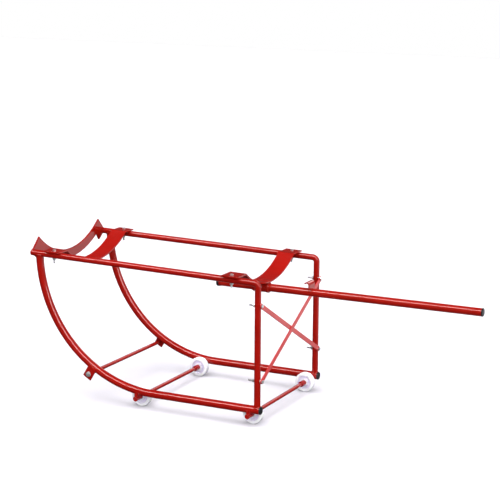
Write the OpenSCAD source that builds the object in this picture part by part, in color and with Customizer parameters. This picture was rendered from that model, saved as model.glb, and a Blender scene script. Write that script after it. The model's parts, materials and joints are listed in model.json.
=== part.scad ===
// Tilting drum cradle with a tipping lever.
// Two welded-tube side frames carry two curved saddles, in which a steel drum lies on its side.
// The curved runners rock the cradle down from upright, and four small wheels roll it about.
// The lever slides in a socket under the front saddle, and its hook catches the drum's rim.
// X runs along the drum and the lever is at +X; left is -Y; Z is up.
// The origin is on the floor, under the middle of the whole cradle.

/* [Drum] */
// Diameter of the drum body that the saddles fit
drum_d = 572; // [560:1:584]
// Height of the drum's axis over the top rails' centre lines, at the front saddle
drum_rise = 244; // [240:1:250]
// Angle by which the drum's axis falls toward the top rails at the toe plate, in degrees
drum_tilt = 0.6; // [0:0.1:0.8]

/* [Side frames] */
// Spacing of the two side frames, centre to centre
frame_spacing = 430; // [410:2:450]
// Outside diameter of a runner's tube
runner_d = 25; // [23:0.5:27]
// Wall of a runner's tube
runner_wall = 2; // [1.5:0.25:3]
// Radius of a runner's curve, at the tube's centre line
runner_bend_r = 415; // [400:1:425]
// Length of a runner's straight foot, from the leg to the start of the curve
foot_l = 366; // [350:2:390]
// Outside diameter of the top rail and leg tube
rail_d = 20; // [18:0.5:22]
// Wall of the top rail and leg tube
rail_wall = 2; // [1.5:0.25:3]
// Height of the top rail over the runner's foot, at the legs
rail_rise = 395; // [386:1:408]
// Slope of the top rails, rising toward the toe plate, in degrees
rail_slope = 1.2; // [0.4:0.2:2]
// Length of the top rail, from the leg's centre line to the toe plate
rail_l = 806; // [798:1:818]

/* [Toe plate] */
// Radial width of the toe plate's band under the drum's rim
toe_w = 31; // [24:1:40]
// Thickness of the toe plate
toe_t = 6; // [4:0.5:8]
// Radius of the band's inner edge
toe_in_r = 262; // [256:1:268]
// Radial length of the two ears that reach down to the rails
ear_w = 60; // [54:1:64]
// Angle from the bottom of the toe plate to either end, in degrees
toe_half_angle = 43.3; // [43:0.1:45]
// Angle that each ear spans, in degrees
ear_angle = 8.3; // [6:0.1:12]

/* [Saddles] */
// Width of a saddle strap along the drum
strap_w = 56; // [44:2:64]
// Thickness of a saddle strap
strap_t = 4.5; // [4:0.5:6]
// Distance of the front saddle behind the legs, along the top rail
front_saddle_back = 89; // [80:1:105]
// Distance of the rear saddle behind the legs, along the top rail
rear_saddle_back = 726; // [700:1:740]

/* [Lever] */
// Outside diameter of the lever tube
lever_d = 25; // [24:0.5:26]
// Wall of the lever tube
lever_wall = 3; // [2:0.5:4]
// Reach of the lever tube past the legs
lever_reach = 630; // [560:2:700]
// Length of the lever tube behind the legs
lever_back = 246; // [230:1:260]
// Height of the lever over the runner's foot
lever_rise = 332.5; // [330:0.5:334]
// Outside diameter of the socket
socket_d = 32; // [31:0.5:34]
// Length of the socket
socket_l = 48; // [40:1:52]
// Distance of the socket's middle behind the legs
socket_back = 97; // [92:1:100]
// Distance of the hook's stem past the legs
hook_out = 77; // [74:1:90]
// Width of the hook
hook_w = 42; // [36:1:50]

/* [Braces] */
// Width of a brace bar
brace_w = 15; // [14:1:20]
// Thickness of a brace bar
brace_t = 3; // [2.5:0.5:4]
// Height of the lower brace bolts over the runner's foot
brace_low = 92; // [80:2:110]
// Height of the upper brace bolts over the runner's foot
brace_high = 327; // [300:1:330]

/* [Wheels] */
// Diameter of a wheel
wheel_d = 64; // [60:1:68]
// Width of a wheel
wheel_w = 20; // [16:1:22]
// Diameter of the axles
axle_d = 12; // [10:0.5:12.5]
// Distance of the front axle behind the legs
front_axle_back = 24; // [18:1:30]
// Distance of the rear axle behind the legs
rear_axle_back = 418; // [380:2:420]

/* [Tie rod] */
// Diameter of the tie rod
tie_d = 12; // [12:0.5:14]
// Place of the lugs round the runner's curve, in degrees back from its bottom
lug_angle = 31; // [28:0.2:36]

/* [Hidden] */
$fn = 96;

fit_gap = 0.08;          // running clearance, on the radius
slip_gap = 0.1;          // gap between pieces of one body that slide together when built
free_gap = 0.5;          // gap along an axle between a wheel and its neighbours

// Paint, plated steel and plastic, as the real pieces show
paint = [0.72, 0.05, 0.03];
plated = [0.72, 0.73, 0.74];
black = [0.06, 0.06, 0.07];
white = [0.93, 0.93, 0.94];

// Fasteners: M6 through the tubes, M8 into the tie rod
m6_d = 6;
m6_flats = 10;
m6_head = 4;
m6_nut = 5;
m6_hole_d = 6.6;
m8_d = 8;
m8_flats = 13;
m8_head = 5.3;
m8_hole_d = 8.6;
m8_l = 24;
saddle_bolt_tail = 15.5; // thread left below the top rail
brace_bolt_tail = 20;    // thread left behind the leg
brace_spacer_d = 12;

// Wheels, bushings, washers and spacers
bush_d = 16;
bush_l = 33;
bush_inner_y = 203;      // face of a bushing that looks at the wheel
washer_t = 1.5;
washer_d = 18;
spacer_d = 18.5;
spacer_l = 25;
axle_drop = runner_d / 2 + bush_d / 2 - 1.5;
wheel_edge_r = 3;
wheel_rim_r = wheel_d / 2 - 9;
wheel_hub_r = 14;
wheel_web_w = 9;
weld_pad_w = 11;

// Caps
cap_d = 25.5;
cap_head = 4.5;
cap_plug = 16;
cap_round = 2.5;
tail_cap_d = 28;
tail_cap_cover = 7;
tail_cap_end = 2;
foot_overhang = rail_d / 2;

// Lever stop and hook
stop_d = 34;
stop_w = 7.5;
hook_t = 4;
hook_bend_r = 6;
hook_stem_h = 22.5;
hook_turn = 150;
hook_foot = 3;

// Lugs
lug_w = 31;
lug_t = 5;
lug_edge = 15;           // from the bolt to the lug's outer edge
lug_grip = 4;            // reach past the runner's centre line, on the runner's outer side
lug_bite = 0.6;          // depth of the runner's side in the lug
tie_out = 24.5;          // from the runner's centre line out to the tie rod
lug_washer_d = 17;
lug_washer_t = 1.6;
thread_depth = 20;
m8_thread_r = m8_d / 2 + slip_gap;

// Places in the side view: X is measured from the legs until the whole is centred
drum_r = drum_d / 2;
side_y = frame_spacing / 2;
axle_z = wheel_d / 2;
foot_z = axle_z + axle_drop;
rail_z = foot_z + rail_rise;
wheel_y = bush_inner_y - washer_t - free_gap - wheel_w / 2;
strap_top = rail_d / 2 + strap_t;
tab_end_y = side_y + 17;
tab_lap = 0.7;           // how far a tab starts inside the strap's end
ear_r = toe_in_r + ear_w;
lug_y = side_y + runner_d / 2 - lug_bite + lug_t / 2;

// A point of the sloping deck, given by its distance along the top rail and its height over it
function deck_x(along, up) = along * cos(rail_slope) + up * sin(rail_slope);

// Height of the drum's axis over the top rails, at a distance behind the legs
function drum_up(back) = drum_rise - (back - front_saddle_back) * tan(drum_tilt);

lever_z = foot_z + lever_rise;
socket_bore_r = lever_d / 2 + fit_gap;

// Each brace bolt: its side, its height and how many bar thicknesses its head stands out
brace_ends = [
    [-1, brace_low, 2],
    [1, brace_high, 2],
    [-1, brace_high, 1],
    [1, brace_low, 1]
];

// Whole length, and the shift that puts the origin under the middle
tip_x = lever_reach + cap_head;
toe_low_up = drum_up(rail_l) - toe_in_r - toe_w;
leg_x = -(tip_x + deck_x(-rail_l - toe_t, toe_low_up)) / 2;

// ---- frames of reference ----

// Moves from the legs' frame to the cradle's own frame
module placed() {
    translate([leg_x, 0, 0]) children();
}

// The sloping deck: X along the top rails from the legs, Z up from their centre lines
module on_deck() {
    translate([0, 0, rail_z]) rotate([0, rail_slope, 0]) children();
}

// Copies of a piece at both side frames
module both_sides(y = side_y) {
    for (side = [-1, 1]) {
        translate([0, side * y, 0]) children();
    }
}

// ---- shared shapes ----

module x_cylinder(d, from, to) {
    translate([from, 0, 0]) rotate([0, 90, 0]) cylinder(d = d, h = to - from);
}

module y_cylinder(d, from, to) {
    translate([0, to, 0]) rotate([90, 0, 0]) cylinder(d = d, h = to - from);
}

// Hexagonal prism on Z with one chamfered end, at the top
module hexagon(flats, h) {
    corner_d = flats / cos(30);
    chamfer = (corner_d - flats) / 2;
    intersection() {
        cylinder(d = corner_d, h = h, $fn = 6);
        union() {
            cylinder(d = corner_d + 1, h = h - chamfer);
            translate([0, 0, h - chamfer])
                cylinder(d1 = corner_d, d2 = corner_d - 4 * chamfer, h = chamfer);
        }
    }
}

// Hex bolt with its head on Z = 0 and its shank down -Z
module hex_bolt(d, flats, head, l) {
    tip = d / 8;
    hexagon(flats, head);
    translate([0, 0, tip - l]) cylinder(d = d, h = l - tip);
    translate([0, 0, -l]) cylinder(d1 = d - 2 * tip, d2 = d, h = tip);
}

// Hex nut with its bearing face on Z = 0, down -Z
module hex_nut(d, flats, h) {
    difference() {
        mirror([0, 0, 1]) hexagon(flats, h);
        translate([0, 0, -h - 1]) cylinder(r = d / 2 + slip_gap, h = h + 2);
    }
}

// Flat ring on Z
module ring(d, bore_r, t) {
    difference() {
        cylinder(d = d, h = t);
        translate([0, 0, -1]) cylinder(r = bore_r, h = t + 2);
    }
}

// Part of a flat ring between two angles, counted from -Y toward +X
module arc_band(r_in, r_out, from, to) {
    far = 2 * r_out;
    intersection() {
        difference() {
            circle(r = r_out, $fn = 360);
            circle(r = r_in, $fn = 360);
        }
        polygon([
            [0, 0],
            [far * sin(from), -far * cos(from)],
            [far * sin(to), -far * cos(to)]
        ]);
    }
}

// ---- side frames ----

// Solid bar along a runner: foot, quarter curve and a short upright end
module runner_bar(d, extra = 0) {
    upright = 30;
    translate([0, 0, foot_z]) x_cylinder(d, -foot_l, foot_overhang + extra);
    translate([-foot_l, 0, foot_z + runner_bend_r])
        rotate([90, 0, 0])
            rotate([0, 0, 180])
                rotate_extrude(angle = 90, $fn = 180)
                    translate([runner_bend_r, 0]) circle(d = d);
    translate([-foot_l - runner_bend_r, 0, foot_z + runner_bend_r]) cylinder(d = d, h = upright + extra);
}

// Everything on one side of the mitre where a top rail meets its leg: 1 for the leg's side, -1 for the rail's
module mitre(side) {
    reach = 4 * rail_d;
    translate([0, 0, rail_z])
        rotate([0, (90 + rail_slope) / 2, 0])
            translate([side * reach / 2, 0, 0]) cube(reach, center = true);
}

// Runner tube, coped to the underside of the top rail
module runner() {
    cope = 4;
    difference() {
        runner_bar(runner_d);
        runner_bar(runner_d - 2 * runner_wall, 1);
        on_deck() x_cylinder(rail_d, -rail_l - 1, 0);
        on_deck() translate([-rail_l - 60, -runner_d, -cope]) cube([200, 2 * runner_d, 150]);
    }
}

// Leg, coped to the runner's foot, mitred at the top and drilled for the braces' bolts
module leg() {
    leg_l = rail_rise + rail_d;
    difference() {
        translate([0, 0, foot_z]) cylinder(d = rail_d, h = leg_l);
        translate([0, 0, foot_z - 1]) cylinder(d = rail_d - 2 * rail_wall, h = leg_l + 2);
        translate([0, 0, foot_z]) x_cylinder(runner_d, -foot_l, foot_overhang + 1);
        mitre(-1);
        for (up = [brace_low, brace_high]) {
            translate([0, 0, foot_z + up]) x_cylinder(m6_hole_d, -rail_d, rail_d);
        }
    }
}

// Top rail, mitred to the leg and drilled for the saddles' bolts
module top_rail() {
    difference() {
        on_deck() x_cylinder(rail_d, -rail_l, rail_d);
        on_deck() x_cylinder(rail_d - 2 * rail_wall, -rail_l - 1, rail_d + 1);
        mitre(1);
        for (back = [front_saddle_back, rear_saddle_back]) {
            on_deck() translate([-back, 0, -rail_d]) cylinder(d = m6_hole_d, h = 2 * rail_d);
        }
    }
}

module left_runner() {
    color(paint) placed() translate([0, -side_y, 0]) runner();
}

module right_runner() {
    color(paint) placed() translate([0, side_y, 0]) runner();
}

module left_leg() {
    color(paint) placed() translate([0, -side_y, 0]) leg();
}

module right_leg() {
    color(paint) placed() translate([0, side_y, 0]) leg();
}

module left_top_rail() {
    color(paint) placed() translate([0, -side_y, 0]) top_rail();
}

module right_top_rail() {
    color(paint) placed() translate([0, side_y, 0]) top_rail();
}

// Plastic plug with a rounded head, on X, its head from X = 0 outward
module end_cap(bore_d) {
    head_r = cap_d / 2;
    plug_r = bore_d / 2 - slip_gap;
    rotate([0, 90, 0])
        rotate_extrude()
            union() {
                square([head_r, cap_head - cap_round]);
                square([head_r - cap_round, cap_head]);
                translate([head_r - cap_round, cap_head - cap_round])
                    intersection() {
                        circle(r = cap_round);
                        square(cap_round);
                    }
                translate([0, -cap_plug]) square([plug_r, cap_plug + 1]);
            }
}

module foot_cap() {
    translate([foot_overhang, 0, foot_z]) end_cap(runner_d - 2 * runner_wall);
}

module left_foot_cap() {
    color(black) placed() translate([0, -side_y, 0]) foot_cap();
}

module right_foot_cap() {
    color(black) placed() translate([0, side_y, 0]) foot_cap();
}

// ---- deck: toe plate and saddles ----

// Curved band across the rails' ends, with an ear down to each rail that closes its end
module toe_plate() {
    up = drum_up(rail_l);
    color(paint)
        placed()
            on_deck()
                translate([-rail_l - toe_t, 0, up])
                    rotate([90, 0, 90])
                        linear_extrude(toe_t)
                            union() {
                                arc_band(toe_in_r, toe_in_r + toe_w, -toe_half_angle, toe_half_angle);
                                arc_band(toe_in_r, ear_r, toe_half_angle - ear_angle, toe_half_angle);
                                arc_band(toe_in_r, ear_r, -toe_half_angle, ear_angle - toe_half_angle);
                                translate([-side_y, -up]) circle(d = rail_d);
                                translate([side_y, -up]) circle(d = rail_d);
                            }
}

// Side view of a saddle: a strap round the drum, cut level with two flat tabs
module saddle_profile(up) {
    strap_end_y = sqrt(pow(drum_r, 2) - pow(up - strap_top, 2));
    tab_start_y = strap_end_y + tab_lap;
    intersection() {
        translate([0, up])
            difference() {
                circle(r = drum_r + strap_t, $fn = 360);
                circle(r = drum_r, $fn = 360);
            }
        translate([-drum_r, -drum_r]) square([2 * drum_r, drum_r + strap_top]);
    }
    for (side = [-1, 1]) {
        translate([side * (tab_start_y + tab_end_y) / 2, strap_top - strap_t / 2])
            square([tab_end_y - tab_start_y, strap_t], center = true);
    }
}

// Strap that follows the drum and lies flat on both top rails
module saddle(back) {
    difference() {
        translate([-back - strap_w / 2, 0, 0])
            rotate([90, 0, 90]) linear_extrude(strap_w) saddle_profile(drum_up(back));
        both_sides() translate([-back, 0, 0]) cylinder(d = m6_hole_d, h = 2 * rail_d);
    }
}

module front_saddle() {
    color(paint) placed() on_deck() saddle(front_saddle_back);
}

module rear_saddle() {
    color(paint) placed() on_deck() saddle(rear_saddle_back);
}

module saddle_bolts() {
    bolt_l = strap_t + rail_d + saddle_bolt_tail;
    for (back = [front_saddle_back, rear_saddle_back]) {
        color(plated)
            placed()
                on_deck()
                    both_sides()
                        translate([-back, 0, strap_top]) hex_bolt(m6_d, m6_flats, m6_head, bolt_l);
    }
}

module saddle_nuts() {
    for (back = [front_saddle_back, rear_saddle_back]) {
        color(plated)
            placed()
                on_deck()
                    both_sides()
                        translate([-back, 0, -rail_d / 2]) hex_nut(m6_d, m6_flats, m6_nut);
    }
}

// ---- lever ----

// Short tube welded to the underside of the front saddle, with a pad that fills the gap between them
module lever_socket() {
    rear_x = -socket_back - socket_l / 2;
    front_x = rear_x + socket_l;
    color(paint)
        placed()
            difference() {
                union() {
                    translate([0, 0, lever_z]) x_cylinder(socket_d, rear_x, front_x);
                    translate([rear_x, -weld_pad_w, lever_z + socket_d / 4])
                        cube([socket_l, 2 * weld_pad_w, socket_d / 2]);
                }
                translate([0, 0, lever_z]) x_cylinder(2 * socket_bore_r, rear_x - 1, front_x + 1);
                on_deck()
                    translate([0, 0, drum_rise])
                        x_cylinder(drum_d + 2 * strap_t, -front_saddle_back - 2 * strap_w, 0);
            }
}

module lever_tube() {
    color(paint)
        placed()
            translate([0, 0, lever_z])
                difference() {
                    x_cylinder(lever_d, -lever_back, lever_reach);
                    x_cylinder(lever_d - 2 * lever_wall, -lever_back - 1, lever_reach + 1);
                }
}

// Ring welded to the lever, which meets the socket when the lever is pushed home
module lever_stop_collar() {
    color(paint)
        placed()
            translate([-socket_back + socket_l / 2 + 0.3, 0, lever_z])
                rotate([0, 90, 0]) ring(stop_d, lever_d / 2, stop_w);
}

// Side view of the hook, with X out along the lever and Y up from the lever's top
module hook_profile() {
    outer_r = hook_bend_r + hook_t;
    bend_up = hook_stem_h - outer_r;
    translate([0, -hook_foot]) square([hook_t, bend_up + hook_foot]);
    translate([-hook_bend_r, bend_up])
        intersection() {
            difference() {
                circle(r = outer_r);
                circle(r = hook_bend_r);
            }
            polygon([
                [0, 0],
                [2 * outer_r, 0],
                [2 * outer_r, 2 * outer_r],
                [2 * outer_r * cos(hook_turn), 2 * outer_r * sin(hook_turn)]
            ]);
        }
}

// Bent plate welded on top of the lever
module lever_hook() {
    color(paint)
        placed()
            difference() {
                translate([hook_out, hook_w / 2, lever_z + lever_d / 2])
                    rotate([90, 0, 0]) linear_extrude(hook_w) hook_profile();
                translate([0, 0, lever_z]) x_cylinder(lever_d, 0, 2 * hook_out);
            }
}

// Cup pressed over the lever's tail, too wide for the socket
module lever_tail_cap() {
    color(black)
        placed()
            translate([-lever_back, 0, lever_z])
                difference() {
                    x_cylinder(tail_cap_d, -tail_cap_end, tail_cap_cover);
                    x_cylinder(lever_d + slip_gap, 0, tail_cap_cover + 1);
                }
}

module lever_end_cap() {
    color(black)
        placed()
            translate([lever_reach, 0, lever_z]) end_cap(lever_d - 2 * lever_wall);
}

// ---- braces ----

// Flat bar from one leg up to the other, seen along X
module brace(from_x, low_side) {
    rise = brace_high - brace_low;
    bar_l = norm([2 * side_y, rise]);
    translate([from_x, low_side * side_y, foot_z + brace_low])
        rotate([-low_side * atan2(rise, 2 * side_y), 0, 0])
            difference() {
                union() {
                    translate([0, min(0, -low_side * bar_l), -brace_w / 2]) cube([brace_t, bar_l, brace_w]);
                    for (y = [0, -low_side * bar_l]) {
                        translate([0, y, 0]) x_cylinder(brace_w, 0, brace_t);
                    }
                }
                for (y = [0, -low_side * bar_l]) {
                    translate([0, y, 0]) x_cylinder(m6_hole_d, -1, brace_t + 1);
                }
            }
}

// Bar that lies against the legs
module inner_brace() {
    color(paint) placed() brace(rail_d / 2, 1);
}

// Bar that crosses in front of the other
module outer_brace() {
    color(paint) placed() brace(rail_d / 2 + brace_t, -1);
}

// Rings that fill the gap between the outer bar and the legs
module brace_spacers() {
    for (end = [for (e = brace_ends) if (e[2] == 2) e]) {
        color(plated)
            placed()
                translate([rail_d / 2, end[0] * side_y, foot_z + end[1]])
                    rotate([0, 90, 0]) ring(brace_spacer_d, m6_hole_d / 2, brace_t);
    }
}

module brace_bolts() {
    for (end = brace_ends) {
        color(plated)
            placed()
                translate([rail_d / 2 + end[2] * brace_t, end[0] * side_y, foot_z + end[1]])
                    rotate([0, 90, 0])
                        hex_bolt(m6_d, m6_flats, m6_head, rail_d + end[2] * brace_t + brace_bolt_tail);
    }
}

module brace_nuts() {
    for (end = brace_ends) {
        color(plated)
            placed()
                translate([-rail_d / 2, end[0] * side_y, foot_z + end[1]])
                    rotate([0, 90, 0]) hex_nut(m6_d, m6_flats, m6_nut);
    }
}

// ---- tie rod under the curve ----

// Frame at the tie rod: -Z points out from the runner's curve
module at_tie_rod() {
    translate([-foot_l, 0, foot_z + runner_bend_r])
        rotate([0, lug_angle, 0])
            translate([0, 0, -runner_bend_r - tie_out])
                children();
}

// Square plate welded to the outer side of a runner
module lug(side) {
    difference() {
        at_tie_rod()
            translate([-lug_w / 2, side * lug_y - lug_t / 2, -lug_edge])
                cube([lug_w, lug_t, lug_edge + tie_out + lug_grip]);
        at_tie_rod() y_cylinder(m8_hole_d, -lug_y - lug_t, lug_y + lug_t);
        translate([0, side * side_y, 0]) runner_bar(runner_d);
    }
}

module left_lug() {
    color(paint) placed() lug(-1);
}

module right_lug() {
    color(paint) placed() lug(1);
}

// Round bar between the lugs, tapped at both ends
module tie_rod() {
    half_l = lug_y - lug_t / 2;
    color(paint)
        placed()
            at_tie_rod()
                difference() {
                    y_cylinder(tie_d, -half_l, half_l);
                    y_cylinder(2 * m8_thread_r, -half_l - 1, thread_depth - half_l);
                    y_cylinder(2 * m8_thread_r, half_l - thread_depth, half_l + 1);
                }
}

module tie_rod_bolts() {
    seat_y = lug_y + lug_t / 2 + lug_washer_t;
    for (side = [-1, 1]) {
        color(plated)
            placed()
                at_tie_rod()
                    translate([0, side * seat_y, 0])
                        rotate([-side * 90, 0, 0]) hex_bolt(m8_d, m8_flats, m8_head, m8_l);
    }
}

module tie_rod_washers() {
    for (side = [-1, 1]) {
        color(plated)
            placed()
                at_tie_rod()
                    translate([0, side * (lug_y + lug_t / 2), 0])
                        rotate([-side * 90, 0, 0]) ring(lug_washer_d, m8_d / 2 + 0.2, lug_washer_t);
    }
}

// ---- axles and wheels ----

// Pair of short tubes welded under the runners, with a pad that reaches the curve
module bushings(back) {
    for (side = [-1, 1]) {
        difference() {
            translate([-back, side * (bush_inner_y + bush_l / 2), axle_z])
                union() {
                    y_cylinder(bush_d, -bush_l / 2, bush_l / 2);
                    translate([-weld_pad_w / 2, -runner_d / 2, 0]) cube([weld_pad_w, runner_d, axle_drop]);
                }
            translate([-back, 0, axle_z]) y_cylinder(axle_d + slip_gap, -2 * side_y, 2 * side_y);
            translate([0, side * side_y, 0]) runner_bar(runner_d);
        }
    }
}

module front_bushings() {
    color(paint) placed() bushings(front_axle_back);
}

module rear_bushings() {
    color(paint) placed() bushings(rear_axle_back);
}

module axle(back) {
    half_l = bush_inner_y + bush_l;
    translate([-back, 0, axle_z]) y_cylinder(axle_d, -half_l, half_l);
}

module front_axle() {
    color(paint) placed() axle(front_axle_back);
}

module rear_axle() {
    color(paint) placed() axle(rear_axle_back);
}

// Sleeves on an axle that keep its wheels out against the bushings
module spacers(back) {
    outer_y = wheel_y - wheel_w / 2 - free_gap;
    for (side = [-1, 1]) {
        translate([-back, side * (outer_y - spacer_l / 2), axle_z])
            rotate([90, 0, 0])
                translate([0, 0, -spacer_l / 2]) ring(spacer_d, (axle_d + slip_gap) / 2, spacer_l);
    }
}

module front_spacers() {
    color(paint) placed() spacers(front_axle_back);
}

module rear_spacers() {
    color(paint) placed() spacers(rear_axle_back);
}

module wheel_washers() {
    for (back = [front_axle_back, rear_axle_back]) {
        for (side = [-1, 1]) {
            color(plated)
                placed()
                    translate([-back, side * (bush_inner_y - washer_t / 2), axle_z])
                        rotate([90, 0, 0])
                            translate([0, 0, -washer_t / 2])
                                ring(washer_d, (axle_d + slip_gap) / 2, washer_t);
        }
    }
}

// Moulded wheel: hub, thin web and rounded rim, with the axle's bore
module wheel(back, side) {
    r = wheel_d / 2;
    half_w = wheel_w / 2;
    translate([-back, side * wheel_y, axle_z])
        rotate([90, 0, 0])
            rotate_extrude($fn = 120)
                difference() {
                    union() {
                        translate([0, -half_w]) square([wheel_hub_r, wheel_w]);
                        translate([0, -wheel_web_w / 2]) square([r - wheel_edge_r, wheel_web_w]);
                        translate([wheel_rim_r, -half_w]) square([r - wheel_edge_r - wheel_rim_r, wheel_w]);
                        translate([wheel_rim_r, wheel_edge_r - half_w])
                            square([r - wheel_rim_r, wheel_w - 2 * wheel_edge_r]);
                        for (end = [-1, 1]) {
                            translate([r - wheel_edge_r, end * (half_w - wheel_edge_r)])
                                circle(r = wheel_edge_r);
                        }
                    }
                    translate([0, -wheel_w]) square([axle_d / 2 + fit_gap, 2 * wheel_w]);
                }
}

module front_left_wheel() {
    color(white) placed() wheel(front_axle_back, -1);
}

module front_right_wheel() {
    color(white) placed() wheel(front_axle_back, 1);
}

module rear_left_wheel() {
    color(white) placed() wheel(rear_axle_back, -1);
}

module rear_right_wheel() {
    color(white) placed() wheel(rear_axle_back, 1);
}

left_runner();
right_runner();
left_leg();
right_leg();
left_top_rail();
right_top_rail();
toe_plate();
front_saddle();
rear_saddle();
saddle_bolts();
saddle_nuts();
lever_socket();
lever_tube();
lever_hook();
lever_stop_collar();
lever_tail_cap();
lever_end_cap();
inner_brace();
outer_brace();
brace_spacers();
brace_bolts();
brace_nuts();
left_lug();
right_lug();
tie_rod();
tie_rod_bolts();
tie_rod_washers();
front_bushings();
rear_bushings();
front_axle();
rear_axle();
front_spacers();
rear_spacers();
wheel_washers();
front_left_wheel();
front_right_wheel();
rear_left_wheel();
rear_right_wheel();
left_foot_cap();
right_foot_cap();
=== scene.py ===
"""Looks for the tilting drum cradle: enamel, plating, moulded plastic, bends, welds and fasteners."""
import json
import math

import bmesh
import bpy
from mathutils import Matrix, Vector


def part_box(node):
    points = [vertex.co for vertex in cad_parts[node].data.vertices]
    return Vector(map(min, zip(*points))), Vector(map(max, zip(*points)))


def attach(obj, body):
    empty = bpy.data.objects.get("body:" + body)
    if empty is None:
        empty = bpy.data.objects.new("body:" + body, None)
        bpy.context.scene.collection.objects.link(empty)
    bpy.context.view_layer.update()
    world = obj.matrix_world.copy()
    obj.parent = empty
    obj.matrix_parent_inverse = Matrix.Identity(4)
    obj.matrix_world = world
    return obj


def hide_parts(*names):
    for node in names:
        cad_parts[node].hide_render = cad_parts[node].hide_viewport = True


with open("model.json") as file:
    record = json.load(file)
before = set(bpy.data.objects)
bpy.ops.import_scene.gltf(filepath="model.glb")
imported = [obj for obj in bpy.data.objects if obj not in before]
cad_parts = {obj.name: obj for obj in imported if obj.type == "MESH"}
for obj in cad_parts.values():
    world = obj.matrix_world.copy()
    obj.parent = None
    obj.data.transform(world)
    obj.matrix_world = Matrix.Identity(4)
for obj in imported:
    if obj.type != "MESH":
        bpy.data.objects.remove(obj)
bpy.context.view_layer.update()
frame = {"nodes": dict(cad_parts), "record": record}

MM = 0.001


# ---- sizes in millimetres that the CAD gives to the pieces rebuilt here ----

RAIL_RISE = 395
RAIL_SLOPE = math.radians(1.2)
RAIL_L = 806
RAIL_R = 10
RAIL_BORE_R = 8
RUNNER_R = 12.5
RUNNER_BEND_R = 415
FOOT_L = 366
LEVER_R = 12.5
HOOK_T = 4
SADDLE_BACK = (89, 726)
STRAP_T = 4.5
STRAP_OUTER_R = 290.5
DRUM_RISE = 244
SOCKET_BACK = 97
WELD_PAD_W = 11
BRACE_T = 3
BRACE_LOW = 92
BRACE_HIGH = 327
LUG_ANGLE = math.radians(31)
LUG_T = 5
LUG_GRIP = 0.6
WASHER_T = 1.6
TIE_OUT = 24.5

# The bend between a leg and its top rail, which the CAD leaves as a mitre
CORNER_R = 14


# ---- places read from the frame, in millimetres; x is measured from the legs, as in the CAD ----

def centre(node):
    low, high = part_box(node)
    return [(a + b) / 2 / MM for a, b in zip(low, high)]


LEG_X = centre("inner_brace")[0] - RAIL_R - BRACE_T / 2
SIDE_Y = centre("right_leg")[1]
FOOT_Z = centre("left_foot_cap")[2]
LEVER_Z = centre("lever_tube")[2]
AXLE_Z = centre("front_axle")[2]
FRONT_AXLE_X = centre("front_axle")[0] - LEG_X
REAR_AXLE_X = centre("rear_axle")[0] - LEG_X
COLLAR_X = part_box("lever_stop_collar")[1][0] / MM - LEG_X
HOOK_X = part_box("lever_hook")[1][0] / MM - LEG_X - HOOK_T
LUG_INNER_Y = SIDE_Y + RUNNER_R - LUG_GRIP

# Moves from the legs' millimetres to the row frame's metres
TO_ROW = Matrix.Scale(MM, 4) @ Matrix.Translation((LEG_X, 0, 0))
# The sloping deck: X along the top rails from the legs, Z up from their centre lines
DECK = Matrix.Translation((0, 0, FOOT_Z + RAIL_RISE)) @ Matrix.Rotation(RAIL_SLOPE, 4, "Y")
# The tie rod: -Z points out from the runner's curve
TIE = (
    Matrix.Translation((-FOOT_L, 0, FOOT_Z + RUNNER_BEND_R))
    @ Matrix.Rotation(LUG_ANGLE, 4, "Y")
    @ Matrix.Translation((0, 0, -RUNNER_BEND_R - TIE_OUT))
)


def runner_rise(x):
    """Height of the runner's centre line over the foot's, at x from the legs."""
    back = max(0, -x - FOOT_L)
    return RUNNER_BEND_R - math.sqrt(RUNNER_BEND_R**2 - back**2)


# ---- material helpers ----

def new_material(name):
    material = bpy.data.materials.new(name)
    material.use_nodes = True
    nodes = material.node_tree.nodes
    return material, nodes, material.node_tree.links, nodes["Principled BSDF"]


def object_coords(nodes):
    return nodes.new("ShaderNodeTexCoord").outputs["Object"]


def vector_maths(nodes, links, operation, first, second=None):
    """Result socket of a vector operation on a socket and, where it takes one, a constant vector."""
    node = nodes.new("ShaderNodeVectorMath")
    node.operation = operation
    links.new(first, node.inputs[0])
    if second is not None:
        node.inputs[1].default_value = second
    return node.outputs["Value" if operation in ("DOT_PRODUCT", "LENGTH") else "Vector"]


def maths(nodes, links, operation, *values):
    node = nodes.new("ShaderNodeMath")
    node.operation = operation
    for value, socket in zip(values, node.inputs):
        links.new(value, socket)
    return node.outputs["Value"]


def remap(nodes, links, value, given, wanted, smooth=False):
    """Maps a value's given range to a wanted one, and holds it at the ends."""
    node = nodes.new("ShaderNodeMapRange")
    if smooth:
        node.interpolation_type = "SMOOTHSTEP"
    links.new(value, node.inputs["Value"])
    for name, number in zip(("From Min", "From Max", "To Min", "To Max"), given + wanted):
        node.inputs[name].default_value = number
    return node.outputs["Result"]


def noise(nodes, links, coords, scale, detail=3.0, rough=0.5):
    node = nodes.new("ShaderNodeTexNoise")
    links.new(coords, node.inputs["Vector"])
    node.inputs["Scale"].default_value = scale
    node.inputs["Detail"].default_value = detail
    node.inputs["Roughness"].default_value = rough
    return node.outputs["Fac"]


def ramp(nodes, links, fac, stops):
    node = nodes.new("ShaderNodeValToRGB")
    links.new(fac, node.inputs["Fac"])
    elements = node.color_ramp.elements
    elements[0].position, elements[0].color = stops[0]
    elements[1].position, elements[1].color = stops[-1]
    for position, colour in stops[1:-1]:
        elements.new(position).color = colour
    return node.outputs["Color"]


def mix(nodes, links, fac, a, b):
    """Blends two colours, each a socket or a constant. A Mix node's colour sockets are 6, 7 and 2."""
    node = nodes.new("ShaderNodeMix")
    node.data_type = "RGBA"
    links.new(fac, node.inputs["Factor"])
    for socket, value in ((node.inputs[6], a), (node.inputs[7], b)):
        if isinstance(value, tuple):
            socket.default_value = value
        else:
            links.new(value, socket)
    return node.outputs[2]


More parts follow.
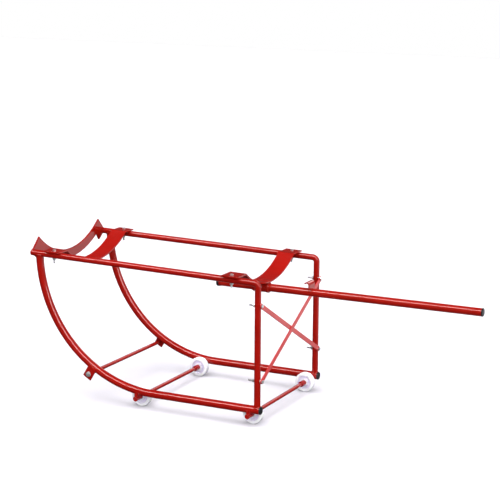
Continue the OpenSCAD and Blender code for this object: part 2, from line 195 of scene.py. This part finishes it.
def bump(nodes, links, heights, shader):
    """Chains bump nodes, each (height socket, strength, distance in metres)."""
    last = None
    for height, strength, distance in heights:
        node = nodes.new("ShaderNodeBump")
        links.new(height, node.inputs["Height"])
        node.inputs["Strength"].default_value = strength
        node.inputs["Distance"].default_value = distance
        if last is not None:
            links.new(last, node.inputs["Normal"])
        last = node.outputs["Normal"]
    links.new(last, shader.inputs["Normal"])


def grey(value):
    return (value, value, value, 1)


# ---- materials ----

def enamel(name, deep, bright, wear=0.66):
    """Glossy enamel: slight orange peel, faint blotches, handling smears and sparse small chips."""
    material, nodes, links, shader = new_material(name)
    coords = object_coords(nodes)
    blotch = noise(nodes, links, coords, 11, 4)
    paint = ramp(nodes, links, blotch, [(0.3, deep), (0.72, bright)])
    chip_place = noise(nodes, links, coords, 150, 5, 0.65)
    chips = ramp(nodes, links, chip_place, [(wear + 0.06, grey(0)), (wear + 0.09, grey(1))])
    links.new(mix(nodes, links, chips, paint, (0.10, 0.012, 0.008, 1)), shader.inputs["Base Color"])
    smear = noise(nodes, links, coords, 40, 5, 0.6)
    gloss = ramp(nodes, links, smear, [(0.35, grey(0.07)), (0.75, grey(0.15))])
    links.new(mix(nodes, links, chips, gloss, grey(0.6)), shader.inputs["Roughness"])
    peel = noise(nodes, links, coords, 420, 2)
    waves = noise(nodes, links, coords, 75, 2)
    bump(nodes, links, [(waves, 0.08, 0.0004), (peel, 0.05, 0.0002), (chips, -0.4, 0.0001)], shader)
    shader.inputs["IOR"].default_value = 1.47
    return material


def zinc(name):
    """Zinc plate: fine spangle, dull patches and a little grime."""
    material, nodes, links, shader = new_material(name)
    coords = object_coords(nodes)
    spangle = noise(nodes, links, coords, 320, 4)
    grime = noise(nodes, links, coords, 120, 5, 0.65)
    metal = ramp(nodes, links, spangle, [(0.3, (0.56, 0.57, 0.59, 1)), (0.7, (0.78, 0.79, 0.80, 1))])
    dirty = ramp(nodes, links, grime, [(0.5, grey(0)), (0.68, grey(0.7))])
    links.new(mix(nodes, links, dirty, metal, (0.12, 0.1, 0.09, 1)), shader.inputs["Base Color"])
    satin = ramp(nodes, links, spangle, [(0.3, grey(0.26)), (0.75, grey(0.45))])
    links.new(satin, shader.inputs["Roughness"])
    bump(nodes, links, [(spangle, 0.15, 0.0001)], shader)
    shader.inputs["Metallic"].default_value = 0.8
    return material


def black_plastic(name):
    """Moulded plastic: fine grain, with pale dust."""
    material, nodes, links, shader = new_material(name)
    coords = object_coords(nodes)
    grain = noise(nodes, links, coords, 1400, 2)
    dust = noise(nodes, links, coords, 110, 4)
    links.new(
        ramp(nodes, links, dust, [(0.4, (0.010, 0.010, 0.012, 1)), (0.8, (0.03, 0.03, 0.034, 1))]),
        shader.inputs["Base Color"],
    )
    links.new(ramp(nodes, links, dust, [(0.3, grey(0.3)), (0.8, grey(0.5))]), shader.inputs["Roughness"])
    bump(nodes, links, [(grain, 0.25, 0.0001)], shader)
    shader.inputs["Specular IOR Level"].default_value = 0.2
    return material


def wheel_plastic(name, axle_x):
    """Waxy off-white moulding: cloudy, faintly translucent, with light scuffs, and painted lavender shade on
    the web between hub and rim, as if its recess lay in shade.
    """
    material, nodes, links, shader = new_material(name)
    coords = object_coords(nodes)
    axle = ((LEG_X + axle_x) * MM, 0, AXLE_Z * MM)
    from_axle = vector_maths(nodes, links, "SUBTRACT", coords, axle)
    flat = vector_maths(nodes, links, "MULTIPLY", from_axle, (1, 0, 1))
    radius = vector_maths(nodes, links, "LENGTH", flat)
    # Painted shade: a lavender ring from about 12 to 24 mm out from the axle, where the web's recess would be
    # in shade
    painted_recess_shade = ramp(
        nodes, links, remap(nodes, links, radius, (0, 0.04), (0, 1)),
        [(0.3, grey(0.2)), (0.37, grey(0.62)), (0.55, grey(0.5)), (0.6, grey(0))],
    )
    cloud = noise(nodes, links, coords, 60, 4)
    white = ramp(nodes, links, cloud, [(0.3, (0.87, 0.86, 0.92, 1)), (0.75, (0.94, 0.94, 0.96, 1))])
    scuff_place = noise(nodes, links, coords, 240, 5, 0.7)
    scuffs = ramp(nodes, links, scuff_place, [(0.6, grey(0)), (0.7, grey(0.5))])
    worn = mix(nodes, links, scuffs, white, (0.60, 0.58, 0.63, 1))
    # Lays the painted recess shade, a lavender tint, over the scuffed white
    links.new(mix(nodes, links, painted_recess_shade, worn, (0.60, 0.52, 0.76, 1)), shader.inputs["Base Color"])
    links.new(ramp(nodes, links, cloud, [(0.3, grey(0.24)), (0.8, grey(0.4))]), shader.inputs["Roughness"])
    fine = noise(nodes, links, coords, 600, 2)
    bump(nodes, links, [(fine, 0.12, 0.0001)], shader)
    shader.inputs["Subsurface Weight"].default_value = 0.3
    shader.inputs["Subsurface Radius"].default_value = (0.005, 0.0045, 0.006)
    shader.inputs["Subsurface Scale"].default_value = 1.0
    return material


MATERIALS = {
    "frame_paint": enamel("frame_enamel", (0.235, 0.004, 0.002, 1), (0.30, 0.0055, 0.003, 1)),
    # The braces' enamel is the frame's red painted lighter and pinker: a painted sheen for the side light
    # their flat faces catch
    "brace_paint": enamel("brace_enamel_painted_sheen", (0.44, 0.022, 0.024, 1), (0.53, 0.034, 0.036, 1)),
    "lever_paint": enamel("lever_enamel", (0.25, 0.005, 0.002, 1), (0.32, 0.008, 0.004, 1), wear=0.64),
    "zinc_plate": zinc("zinc"),
    "black_plastic": black_plastic("black_caps"),
    "wheel_plastic": wheel_plastic("front_wheel_moulding", FRONT_AXLE_X),
}
REAR_WHEEL = wheel_plastic("rear_wheel_moulding", REAR_AXLE_X)
SLOT_OF = {subpart["node"]: subpart["material_slot"] for subpart in frame["record"]["subparts"]}

for name, slot in SLOT_OF.items():
    data = frame["nodes"][name].data
    rear_wheel = name.startswith("rear_") and slot == "wheel_plastic"
    data.materials.clear()
    data.materials.append(REAR_WHEEL if rear_wheel else MATERIALS[slot])


# ---- shape helpers: meshes are built in the legs' millimetres ----

def add_piece(name, bm, slot, body, nodes=(), sharp=35):
    """Turns a finished bmesh into a smooth-shaded piece that rides on its body."""
    bmesh.ops.recalc_face_normals(bm, faces=bm.faces[:])
    bm.transform(TO_ROW)
    mesh = bpy.data.meshes.new(name)
    bm.to_mesh(mesh)
    bm.free()
    mesh.polygons.foreach_set("use_smooth", [True] * len(mesh.polygons))
    mesh.set_sharp_from_angle(angle=math.radians(sharp))
    mesh.materials.append(MATERIALS[slot])
    piece = bpy.data.objects.new(name, mesh)
    bpy.context.collection.objects.link(piece)
    if nodes:
        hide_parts(*nodes)
    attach(piece, body)
    return piece


def add_rings(bm, rings, closed=False, caps=True):
    """Skins a row of equal rings of points, and closes its two ends or joins the last ring to the first."""
    rows = [[bm.verts.new(point) for point in ring] for ring in rings]
    count = len(rows[0])
    pairs = list(zip(rows, rows[1:]))
    if closed:
        pairs.append((rows[-1], rows[0]))
    for near, far in pairs:
        for k in range(count):
            after = (k + 1) % count
            bm.faces.new((near[k], near[after], far[after], far[k]))
    if caps and not closed:
        bm.faces.new(reversed(rows[0]))
        bm.faces.new(rows[-1])


def circle_of(count):
    return [2 * math.pi * k / count for k in range(count)]


def spread(start, end, count):
    """Evenly spaced values from start to end."""
    return [start + (end - start) * k / (count - 1) for k in range(count)]


# ---- softened edges on the CAD pieces ----

def soften(node, width):
    """Rounds a CAD piece's sharp edges a little, as rolled, cut or moulded stock has them."""
    piece = frame["nodes"][node]
    data = piece.data
    data.polygons.foreach_set("use_smooth", [True] * len(data.polygons))
    if "custom_normal" in data.attributes:
        data.attributes.remove(data.attributes["custom_normal"])
    join = piece.modifiers.new("join", "WELD")
    join.merge_threshold = 0.000002
    flat = piece.modifiers.new("flat", "DECIMATE")
    flat.decimate_type = "DISSOLVE"
    flat.angle_limit = math.radians(0.4)
    edge = piece.modifiers.new("edge", "BEVEL")
    edge.width = width * MM
    edge.segments = 3
    edge.limit_method = "ANGLE"
    edge.angle_limit = math.radians(32)
    edge.harden_normals = True


# Width of each piece's softened edge, in millimetres
SOFT_EDGES = {
    "toe_plate": 0.8, "front_saddle": 0.7, "rear_saddle": 0.7, "lever_socket": 0.9, "lever_tube": 0.5,
    "lever_hook": 0.8, "lever_stop_collar": 0.9, "inner_brace": 0.5, "outer_brace": 0.5, "brace_spacers": 0.5,
    "left_lug": 0.8, "right_lug": 0.8, "tie_rod": 0.6, "tie_rod_washers": 0.35, "front_bushings": 0.8,
    "rear_bushings": 0.8, "front_axle": 0.8, "rear_axle": 0.8, "front_spacers": 0.9, "rear_spacers": 0.9,
    "wheel_washers": 0.35, "lever_tail_cap": 0.9, "lever_end_cap": 0.4, "left_foot_cap": 0.4,
    "right_foot_cap": 0.4, "front_left_wheel": 0.7, "front_right_wheel": 0.7, "rear_left_wheel": 0.7,
    "rear_right_wheel": 0.7, "left_runner": 0.4, "right_runner": 0.4,
}
for name, width in SOFT_EDGES.items():
    soften(name, width)


# ---- leg and top rail: one tube with a tight bend ----

COPE_LAP = 0.2
CORNER_STEPS = 14
RAIL_RINGS = (60, 300, 550, RAIL_L)


def side_tube(side_name, side):
    """Leg and top rail of one side as the one bent tube they are, coped to the runner's foot."""
    turn = math.pi / 2 - RAIL_SLOPE
    reach = CORNER_R * math.tan(turn / 2)
    bend_centre = Vector((-CORNER_R, side * SIDE_Y, FOOT_Z + RAIL_RISE - reach))

    def rings(radius):
        outline = [(radius * math.cos(a), radius * math.sin(a)) for a in circle_of(64)]
        made = [
            [(x, side * SIDE_Y + y, FOOT_Z + math.sqrt(RUNNER_R**2 - y**2) - COPE_LAP) for x, y in outline]
        ]
        for up in (60, 180, RAIL_RISE - reach - 40):
            made.append([(x, side * SIDE_Y + y, FOOT_Z + up) for x, y in outline])
        for step in range(CORNER_STEPS + 1):
            turned = turn * step / CORNER_STEPS
            out = Vector((math.cos(turned), 0, math.sin(turned)))
            made.append([bend_centre + (CORNER_R + x) * out + Vector((0, y, 0)) for x, y in outline])
        for along in RAIL_RINGS:
            made.append([DECK @ Vector((-along, side * SIDE_Y + y, x)) for x, y in outline])
        return made

    bm = bmesh.new()
    add_rings(bm, rings(RAIL_R) + rings(RAIL_BORE_R)[::-1], closed=True)
    replaced = (f"{side_name}_leg", f"{side_name}_top_rail")
    add_piece(f"{side_name}_bent_tube", bm, "frame_paint", "cradle", replaced)


side_tube("left", -1)
side_tube("right", 1)


# ---- weld beads ----

PUDDLE_L = 2.1
BEAD_STEP = 0.7


def ripple(travel, radius):
    """Radius of a bead at a distance along it: overlapping puddles of uneven size."""
    puddle = abs(math.sin(math.pi * travel / PUDDLE_L + 0.5 * math.sin(travel * 0.37)))
    return radius * (0.86 + 0.2 * puddle + 0.07 * math.sin(travel * 0.83 + 1.3))


def add_bead(bm, points, radius=1.9, closed=False):
    """A weld bead along a path: a rippled tube that lies half in both of the pieces it joins."""
    points = [Vector(p) for p in points]
    if closed:
        points.append(points[0])
    lengths = [0]
    for a, b in zip(points, points[1:]):
        lengths.append(lengths[-1] + (b - a).length)
    steps = max(6, round(lengths[-1] / BEAD_STEP))
    path = []
    segment = 0
    for step in range(steps + 1):
        travel = lengths[-1] * step / steps
        while segment < len(lengths) - 2 and lengths[segment + 1] < travel:
            segment += 1
        span = lengths[segment + 1] - lengths[segment]
        path.append(points[segment].lerp(points[segment + 1], (travel - lengths[segment]) / span))
    if closed:
        path.pop()
    count = len(path)
    middle = sum(path, Vector()) / count
    rings = []
    side = None
    for i, place in enumerate(path):
        before = path[(i - 1) % count] if closed else path[max(0, i - 1)]
        after = path[(i + 1) % count] if closed else path[min(count - 1, i + 1)]
        ahead = (after - before).normalized()
        guide = place - middle if closed else (side or ahead.orthogonal())
        side = (guide - ahead * guide.dot(ahead)).normalized()
        up = ahead.cross(side)
        size = ripple(lengths[-1] * i / steps, radius)
        if not closed:
            end = min(i, count - 1 - i)
            size *= math.sqrt(max(0.12, min(1, (end + 0.5) / 3)))
        rings.append([place + size * (math.cos(a) * side + math.sin(a) * up) for a in circle_of(10)])
    add_rings(bm, rings, closed)


def arc_points(middle, axis_a, axis_b, radius, start, end, count=24):
    """Points on an arc, from start to end in degrees, turning from axis_a to axis_b."""
    turns = [math.radians(angle) for angle in spread(start, end, count)]
    return [
        Vector(middle) + radius * (math.cos(t) * Vector(axis_a) + math.sin(t) * Vector(axis_b)) for t in turns
    ]


def round_lever(x, start, end, count=24):
    """An arc on the lever's surface, in degrees from +Y."""
    return arc_points((x, 0, LEVER_Z), (0, 1, 0), (0, 0, 1), LEVER_R, start, end, count)


def foot_weld(bm, side):
    """Round a leg's coped end, on the runner's foot."""
    radius = RAIL_R + 0.2
    outline = [(radius * math.cos(a), radius * math.sin(a)) for a in circle_of(60)]
    points = [(x, side * SIDE_Y + y, FOOT_Z + math.sqrt(RUNNER_R**2 - y**2)) for x, y in outline]
    add_bead(bm, points, 1.9, True)


def runner_top_weld(bm, side):
    """Where a runner's upright end, which is wider than the top rail, meets the rail's underside."""
    upright_x = -FOOT_L - RUNNER_BEND_R
    least_drop = 4
    points = []
    for a in circle_of(72):
        x, y = RUNNER_R * math.cos(a), RUNNER_R * math.sin(a)
        along = (upright_x + x) / math.cos(RAIL_SLOPE)
        drop = math.sqrt(max(RAIL_R**2 - y**2, least_drop**2))
        points.append(DECK @ Vector((along, side * SIDE_Y + y, -drop)))
    add_bead(bm, points, 1.7, True)


def toe_weld(bm, side):
    """Where a rail's end meets the toe plate's ear, on the drum's side."""
    low, high = -50, 78
    start, end = (low, high) if side < 0 else (180 - high, 180 - low)
    points = arc_points((-RAIL_L, side * SIDE_Y, 0), (0, 1, 0), (0, 0, 1), RAIL_R, start, end)
    add_bead(bm, [DECK @ p for p in points], 1.6)


def bushing_welds(bm, axle_x, side):
    """Along both sides of the pad between a bushing and its runner."""
    for x in (axle_x - WELD_PAD_W / 2, axle_x + WELD_PAD_W / 2):
        runner_z = FOOT_Z + runner_rise(x)
        points = [
            (x, side * SIDE_Y + y, runner_z - math.sqrt(RUNNER_R**2 - y**2)) for y in spread(-11, 11, 21)
        ]
        add_bead(bm, points, 1.7)


def lug_welds(bm, side):
    """Along a lug's straight top edge, and below it along the curve of the runner's side."""
    straight = [(x, LUG_INNER_Y, TIE_OUT + 4.2) for x in spread(-14, 14, 25)]
    curved = []
    for x in spread(-14, 14, 25):
        sag = RUNNER_BEND_R - math.sqrt(RUNNER_BEND_R**2 - x**2)
        curved.append((x, LUG_INNER_Y - 0.6, TIE_OUT - 4.4 + sag))
    for points in (straight, curved):
        add_bead(bm, [TIE @ Vector((x, side * y, out)) for x, y, out in points], 1.4)


def socket_welds(bm):
    """Along both sides of the socket's pad, under the front saddle."""
    up = DRUM_RISE - math.sqrt(STRAP_OUTER_R**2 - WELD_PAD_W**2)
    for side in (-1, 1):
        points = [DECK @ Vector((-SOCKET_BACK + x, side * WELD_PAD_W, up)) for x in spread(-18, 22, 21)]
        add_bead(bm, points, 1.9)


def lever_welds(bm):
    """Round the lever at the collar's front, and across both faces of the hook's stem."""
    add_bead(bm, round_lever(COLLAR_X, -180, 180, 73)[:-1], 1.5, True)
    for x in (HOOK_X, HOOK_X + HOOK_T):
        add_bead(bm, round_lever(x, 50, 130), 1.6)


def make_welds():
    bm = bmesh.new()
    for side in (-1, 1):
        foot_weld(bm, side)
        runner_top_weld(bm, side)
        toe_weld(bm, side)
        bushing_welds(bm, FRONT_AXLE_X, side)
        bushing_welds(bm, REAR_AXLE_X, side)
        lug_welds(bm, side)
    socket_welds(bm)
    add_piece("weld_beads", bm, "frame_paint", "cradle", sharp=60)
    bm = bmesh.new()
    lever_welds(bm)
    add_piece("lever_weld_beads", bm, "lever_paint", "lever", sharp=60)


make_welds()


# ---- fasteners ----

HEX_STEPS = 48
FACE_SHARE = 0.95
CHAMFER_SLOPE = math.tan(math.radians(30))
M6 = {"d": 6, "flats": 10, "head": 4, "pitch": 1.0, "nut": 5}
M8 = {"d": 8, "flats": 13, "head": 5.3, "pitch": 1.25}

# How far each hexagon is turned, in degrees, as the spanner left it
HEAD_TURNS = (7, 26, 48, 13, 37, 3)
NUT_TURNS = (11, 40, 22, 54)


def hex_ring(flats, height_at, turn):
    """Outline of a hexagon, with a height for each distance from its axis."""
    ring = []
    for angle in circle_of(HEX_STEPS):
        r = flats / 2 / math.cos(angle % (math.pi / 3) - math.pi / 6)
        ring.append(Vector((r * math.cos(angle + turn), r * math.sin(angle + turn), height_at(r))))
    return ring


def round_ring(r, height, turn=0, count=HEX_STEPS):
    return [Vector((r * math.cos(a + turn), r * math.sin(a + turn), height)) for a in circle_of(count)]


def add_placed_rings(bm, place, rings, closed=False):
    add_rings(bm, [[place @ point for point in ring] for ring in rings], closed)


def add_head(bm, place, size, turn):
    """Bolt head: washer face, hexagon, 30 degree chamfer and a slight dish in its top."""
    flats, head = size["flats"], size["head"]
    face_r = flats / 2 * FACE_SHARE
    washer = 0.25
    rim = head - 0.1
    rings = [
        round_ring(face_r, 0, turn),
        round_ring(face_r, washer, turn),
        hex_ring(flats, lambda r: washer, turn),
        hex_ring(flats, lambda r: rim - (r - face_r) * CHAMFER_SLOPE, turn),
        round_ring(face_r, rim, turn),
        round_ring(face_r - 0.3, head, turn),
        round_ring(face_r * 0.5, head - 0.12, turn),
        round_ring(face_r * 0.1, head - 0.15, turn),
    ]
    add_placed_rings(bm, place, rings)


def add_nut(bm, place, size, turn):
    """Nut from Z = 0 down, chamfered at both ends, with a countersunk bore."""
    flats, height = size["flats"], size["nut"]
    face_r = flats / 2 * FACE_SHARE
    bore_r = size["d"] / 2 + 0.1
    mouth_r = bore_r + 0.5
    sink = 0.6
    rings = [
        round_ring(mouth_r, 0, turn),
        round_ring(face_r, 0, turn),
        hex_ring(flats, lambda r: -(r - face_r) * CHAMFER_SLOPE, turn),
        hex_ring(flats, lambda r: (r - face_r) * CHAMFER_SLOPE - height, turn),
        round_ring(face_r, -height, turn),
        round_ring(mouth_r, -height, turn),
        round_ring(bore_r, sink - height, turn),
        round_ring(bore_r, -sink, turn),
    ]
    add_placed_rings(bm, place, rings, closed=True)


def add_shank(bm, place, size, length, threaded):
    """Shank from Z = 0 down: plain, then a helical thread, then a chamfered tip."""
    d, pitch = size["d"], size["pitch"]
    steps = 24
    depth = 0.55 * pitch
    plain_r = d / 2 - depth / 2
    start = threaded - length
    rows = [round_ring(plain_r, 0, 0, steps), round_ring(plain_r, start, 0, steps)]
    count = round(threaded / (pitch / 7))
    for row in range(1, count + 1):
        z = start - threaded * row / count
        tip = min(1, (length + z) / (1.3 * pitch))
        ring = []
        for angle in circle_of(steps):
            wave = (z / pitch + angle / (2 * math.pi)) % 1
            r = d / 2 - depth * abs(2 * wave - 1)
            r = min(r, d / 2 - depth * (1 - tip) - 0.02)
            ring.append(Vector((r * math.cos(angle), r * math.sin(angle), z)))
        rows.append(ring)
    add_placed_rings(bm, place, rows)


def add_bolts(name, places, size, length, threaded, node):
    """Bolts of one size; each place is its head's seat and how much longer than length it is."""
    bm = bmesh.new()
    for index, (place, extra) in enumerate(places):
        add_head(bm, place, size, math.radians(HEAD_TURNS[index % len(HEAD_TURNS)]))
        add_shank(bm, place, size, length + extra, threaded)
    add_piece(name, bm, "zinc_plate", "cradle", [node], sharp=28)


def add_nuts(name, places, size, node):
    bm = bmesh.new()
    for index, place in enumerate(places):
        add_nut(bm, place, size, math.radians(NUT_TURNS[index % len(NUT_TURNS)]))
    add_piece(name, bm, "zinc_plate", "cradle", [node], sharp=28)


def saddle_fasteners():
    spots = [(back, side) for back in SADDLE_BACK for side in (-1, 1)]
    heads = [(DECK @ Matrix.Translation((-back, side * SIDE_Y, RAIL_R + STRAP_T)), 0) for back, side in spots]
    add_bolts("saddle_bolts_threaded", heads, M6, 40, 21, "saddle_bolts")
    seats = [DECK @ Matrix.Translation((-back, side * SIDE_Y, -RAIL_R)) for back, side in spots]
    add_nuts("saddle_nuts_hex", seats, M6, "saddle_nuts")


def brace_fasteners():
    """Through the legs; each bolt's head stands out by one or two bars' thickness."""
    along_x = Matrix.Rotation(math.pi / 2, 4, "Y")
    ends = ((-1, BRACE_LOW, 2), (1, BRACE_HIGH, 2), (-1, BRACE_HIGH, 1), (1, BRACE_LOW, 1))
    heads = []
    for side, up, bars in ends:
        seat = Matrix.Translation((RAIL_R + bars * BRACE_T, side * SIDE_Y, FOOT_Z + up))
        heads.append((seat @ along_x, (bars - 1) * BRACE_T))
    add_bolts("brace_bolts_threaded", heads, M6, 43, 26, "brace_bolts")
    seats = [Matrix.Translation((-RAIL_R, side * SIDE_Y, FOOT_Z + up)) @ along_x for side, up, _ in ends]
    add_nuts("brace_nuts_hex", seats, M6, "brace_nuts")


def tie_rod_fasteners():
    heads = []
    for side in (-1, 1):
        seat = TIE @ Matrix.Translation((0, side * (LUG_INNER_Y + LUG_T + WASHER_T), 0))
        heads.append((seat @ Matrix.Rotation(-side * math.pi / 2, 4, "X"), 0))
    add_bolts("tie_rod_bolts_threaded", heads, M8, 24, 16, "tie_rod_bolts")


saddle_fasteners()
brace_fasteners()
tie_rod_fasteners()


# ---- floor, light and camera ----

def choose(nodes, links, is_ray, usual, other):
    """The other shader for one kind of ray, and the usual one for the rest."""
    node = nodes.new("ShaderNodeMixShader")
    links.new(is_ray, node.inputs["Fac"])
    links.new(usual.outputs[0], node.inputs[1])
    links.new(other.outputs[0], node.inputs[2])
    return node


def make_floor():
    """Pale floor. It looks plain to the camera. To bounce light it is a painted dark shade, and in
    reflections it glows as a painted gradient: dark under and before the cradle, bright behind it.
    """
    half = 14
    corners = [(-half, -half, 0), (half, -half, 0), (half, half, 0), (-half, half, 0)]
    mesh = bpy.data.meshes.new("floor")
    mesh.from_pydata(corners, [], [(0, 1, 2, 3)])
    floor = bpy.data.objects.new("floor", mesh)
    bpy.context.collection.objects.link(floor)
    material, nodes, links, shader = new_material("floor_paper")
    shader.inputs["Base Color"].default_value = (0.64, 0.625, 0.675, 1)
    shader.inputs["Roughness"].default_value = 0.9
    shader.inputs["Specular IOR Level"].default_value = 0.1
    # Painted shade: to diffuse rays the floor is dark grey, so it throws little light back up onto the
    # cradle's undersides
    painted_shade_for_bounce = nodes.new("ShaderNodeBsdfDiffuse")
    painted_shade_for_bounce.inputs["Color"].default_value = (0.12, 0.118, 0.13, 1)
    # Painted reflection: to glossy rays the floor glows, with a painted shadow under and in front of the
    # cradle and brightness rising behind and to the right
    mirrored = nodes.new("ShaderNodeEmission")
    position = nodes.new("ShaderNodeNewGeometry").outputs["Position"]
    across = vector_maths(nodes, links, "DOT_PRODUCT", position, (0.5, 1, 0))
    links.new(remap(nodes, links, across, (0.1, 1.3), (0.03, 1.1)), mirrored.inputs["Strength"])
    rays = nodes.new("ShaderNodeLightPath").outputs
    surface = choose(nodes, links, rays["Is Diffuse Ray"], shader, painted_shade_for_bounce)
    surface = choose(nodes, links, rays["Is Glossy Ray"], surface, mirrored)
    links.new(surface.outputs[0], nodes["Material Output"].inputs["Surface"])
    mesh.materials.append(material)


def toward(nodes, links, coords, direction, near, brightness):
    """Brightness that eases from one value to another as a direction nears the given one."""
    dot = vector_maths(nodes, links, "DOT_PRODUCT", coords, Vector(direction).normalized())
    return remap(nodes, links, dot, near, brightness, smooth=True)


def soft_box(nodes, links, coords, direction, outer, inner, brightness):
    """A round soft box: full brightness inside the inner angle, in degrees, and none outside the outer."""
    near = tuple(math.cos(math.radians(angle)) for angle in (outer, inner))
    return toward(nodes, links, coords, direction, near, (0, brightness))


def overhead_strip(nodes, links, coords, brightness):
    """A long, narrow soft box along X, high on the camera's side."""
    across = vector_maths(nodes, links, "DOT_PRODUCT", coords, (0, 0.8, 0.6))
    away = maths(nodes, links, "ABSOLUTE", across)
    narrow = remap(nodes, links, away, (0.02, 0.085), (brightness, 0), smooth=True)
    upper = toward(nodes, links, coords, (0.25, -0.6, 0.8), (0.4, 0.65), (0, 1))
    return maths(nodes, links, "MULTIPLY", narrow, upper)


def make_light():
    """A soft studio: bright at +X and toward the camera, dim at -X, with soft boxes overhead and behind."""
    world = bpy.data.worlds.new("studio")
    world.use_nodes = True
    nodes, links = world.node_tree.nodes, world.node_tree.links
    coords = nodes.new("ShaderNodeTexCoord").outputs["Generated"]
    sides = toward(nodes, links, coords, (0.9, -0.3, 0.1), (-0.6, 0.9), (0.28, 2.2))
    front = toward(nodes, links, coords, (0.3, -0.9, 0.38), (0.55, 0.98), (0, 1.3))
    overhead = soft_box(nodes, links, coords, (-0.30, -0.12, 0.95), 31, 19, 3.7)
    lighting = maths(nodes, links, "ADD", maths(nodes, links, "ADD", sides, front), overhead)
    glow = toward(nodes, links, coords, (0.7, 0.7, 0.1), (0.35, 0.95), (0.05, 0.35))
    behind = soft_box(nodes, links, coords, (0.02, 0.88, 0.47), 12, 7, 4.0)
    strip = overhead_strip(nodes, links, coords, 32)
    mirrored = maths(nodes, links, "ADD", maths(nodes, links, "ADD", glow, behind), strip)
    for_gloss, for_camera = (nodes.new("ShaderNodeBackground") for _ in range(2))
    background = nodes["Background"]
    for shader in (background, for_gloss, for_camera):
        shader.inputs["Color"].default_value = (1, 1, 1, 1)
    links.new(lighting, background.inputs["Strength"])
    links.new(mirrored, for_gloss.inputs["Strength"])
    rays = nodes.new("ShaderNodeLightPath").outputs
    surface = choose(nodes, links, rays["Is Glossy Ray"], background, for_gloss)
    surface = choose(nodes, links, rays["Is Camera Ray"], surface, for_camera)
    links.new(surface.outputs[0], nodes["World Output"].inputs["Surface"])
    bpy.context.scene.world = world


# The photo's camera, as a fit to the drum and the cradle gave it: its place from the legs' foot in
# millimetres, and its angles in degrees
CAMERA_PLACE = (1979.8, -4263.5, 1415.7)
CAMERA_YAW = 26.379
CAMERA_PITCH = 11.517
CAMERA_ROLL = 0.4026
CAMERA_LENS = 111.16


def make_camera():
    data = bpy.data.cameras.new("camera")
    data.sensor_width = 36
    data.lens = CAMERA_LENS
    camera = bpy.data.objects.new("camera", data)
    right, back, up = CAMERA_PLACE
    camera.matrix_world = (
        Matrix.Translation(Vector((LEG_X + right, back, FOOT_Z + up)) * MM)
        @ Matrix.Rotation(math.radians(CAMERA_YAW), 4, "Z")
        @ Matrix.Rotation(math.radians(90 - CAMERA_PITCH), 4, "X")
        @ Matrix.Rotation(math.radians(CAMERA_ROLL), 4, "Z")
    )
    bpy.context.collection.objects.link(camera)
    bpy.context.scene.camera = camera


make_floor()
make_light()
make_camera()
bpy.context.scene.view_settings.view_transform = "Standard"
